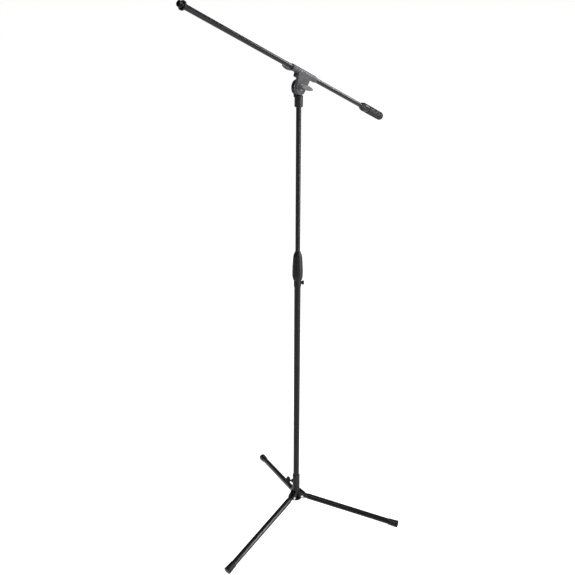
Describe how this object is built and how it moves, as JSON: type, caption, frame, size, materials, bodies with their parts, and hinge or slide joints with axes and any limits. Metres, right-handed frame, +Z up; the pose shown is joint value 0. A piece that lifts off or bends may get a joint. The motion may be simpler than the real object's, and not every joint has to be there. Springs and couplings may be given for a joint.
{
  "type": "boom microphone stand",
  "caption": "Folding tripod microphone stand with a telescopic mast, twist clutch, tilting and sliding boom, counterweight and threaded tip.",
  "frame": {"origin": "on the floor, on the mast's axis", "axes": "+Z up along the mast; the boom lies in the XZ plane with its threaded tip towards -X, over one leg"},
  "size_m": [0.9114, 0.6556, 1.7682],
  "materials": {
    "tube_black": "satin black powder coat",
    "cast_black": "fine textured black coat",
    "cast_grey": "textured dark grey coat",
    "wing_grey": "satin grey coat",
    "grip_plastic": "fine matt",
    "knob_plastic": "fine matt",
    "sleeve_rubber": "ribbed",
    "boot_rubber": "moulded",
    "black_steel": "black zinc",
    "bright_steel": "zinc plated",
    "nylon": "natural"
  },
  "bodies": {
    "hub": {"hub_casting": "cast_black", "leg_pivot_pins": "bright_steel"},
    "hub_screw": {"hub_wing_screw": "knob_plastic"},
    "leg_1": {"leg_root_1": "cast_black", "leg_tube_1": "tube_black", "foot_boot_1": "boot_rubber"},
    "leg_2": {"leg_root_2": "cast_black", "leg_tube_2": "tube_black", "foot_boot_2": "boot_rubber"},
    "leg_3": {"leg_root_3": "cast_black", "leg_tube_3": "tube_black", "foot_boot_3": "boot_rubber"},
    "mast": {"lower_tube": "tube_black", "base_plate": "cast_black", "base_plate_screw": "bright_steel", "clutch_collar": "grip_plastic", "clutch_collet": "nylon"},
    "collar_screw": {"collar_lock_screw": "knob_plastic"},
    "grip": {"clutch_grip": "grip_plastic"},
    "riser_bush": {"guide_bush": "nylon"},
    "riser": {"upper_tube": "tube_black", "swivel_base": "cast_black", "friction_washer": "nylon", "tilt_bolt": "bright_steel", "tilt_washer": "bright_steel"},
    "tilt_nut": {"tilt_wing_nut": "wing_grey"},
    "holder": {"boom_holder": "cast_grey", "boom_clamp_shoe": "nylon"},
    "clamp_screw": {"boom_clamp_screw": "cast_black"},
    "boom": {"boom_tube": "tube_black", "tip_stud": "black_steel", "counterweight_bell": "grip_plastic", "counterweight_slug": "bright_steel", "counterweight_sleeve": "sleeve_rubber"},
    "ring": {"lock_ring": "black_steel"}
  },
  "joints": [
    {"name": "leg_1_fold", "type": "hinge", "parent": "hub", "child": "leg_1", "pos_m": [-0.024, 0, 0.10025], "axis": [0, 1, 0], "range_deg": [0, 100]},
    {"name": "leg_2_fold", "type": "hinge", "parent": "hub", "child": "leg_2", "pos_m": [0.012, 0.02079, 0.10025], "axis": [0.866, -0.5, 0], "range_deg": [0, 100]},
    {"name": "leg_3_fold", "type": "hinge", "parent": "hub", "child": "leg_3", "pos_m": [0.012, -0.02079, 0.10025], "axis": [-0.866, -0.5, 0], "range_deg": [0, 100]},
    {"name": "hub_screw_turn", "type": "hinge", "parent": "hub", "child": "hub_screw", "pos_m": [-0.0065, 0.01126, 0.157], "axis": [-0.5, 0.866, 0], "range_deg": [0, 360]},
    {"name": "mast_slide", "type": "slide", "parent": "hub", "child": "mast", "axis": [0, 0, -1], "range_m": [0, 0.0175]},
    {"name": "collar_screw_turn", "type": "hinge", "parent": "mast", "child": "collar_screw", "pos_m": [0.00836, -0.00996, 0.93], "axis": [0.6428, -0.766, 0], "range_deg": [0, 360]},
    {"name": "grip_twist", "type": "hinge", "parent": "mast", "child": "grip", "pos_m": [0, 0, 0.98], "axis": [0, 0, 1], "range_deg": [0, 120]},
    {"name": "riser_slide", "type": "slide", "parent": "mast", "child": "riser_bush", "axis": [0, 0, 1], "range_m": [-0.44, 0.06]},
    {"name": "riser_turn", "type": "hinge", "parent": "riser_bush", "child": "riser", "pos_m": [0, 0, 1.2], "axis": [0, 0, 1], "continuous": true},
    {"name": "boom_tilt", "type": "hinge", "parent": "riser", "child": "holder", "pos_m": [0, 0, 1.533], "axis": [0, 1, 0], "range_deg": [-90, 52]},
    {"name": "tilt_nut_turn", "type": "hinge", "parent": "riser", "child": "tilt_nut", "pos_m": [0, -0.018, 1.533], "axis": [0, -1, 0], "range_deg": [0, 360]},
    {"name": "boom_slide", "type": "slide", "parent": "holder", "child": "boom", "axis": [-0.9272, 0, 0.3746], "range_m": [-0.385, 0.245]},
    {"name": "boom_clamp_turn", "type": "hinge", "parent": "holder", "child": "clamp_screw", "pos_m": [-0.02321, 0.018, 1.58767], "axis": [0, 1, 0], "range_deg": [0, 360]},
    {"name": "ring_turn", "type": "hinge", "parent": "boom", "child": "ring", "pos_m": [-0.4397, 0, 1.75595], "axis": [-0.9272, 0, 0.3746], "range_deg": [-360, 360]}
  ],
  "couplings": [
    {"joint": "leg_2_fold", "follows": "leg_1_fold", "ratio": 1},
    {"joint": "leg_3_fold", "follows": "leg_1_fold", "ratio": 1},
    {"joint": "mast_slide", "follows": "leg_1_fold", "m_per_rad": 0.009526}
  ]
}
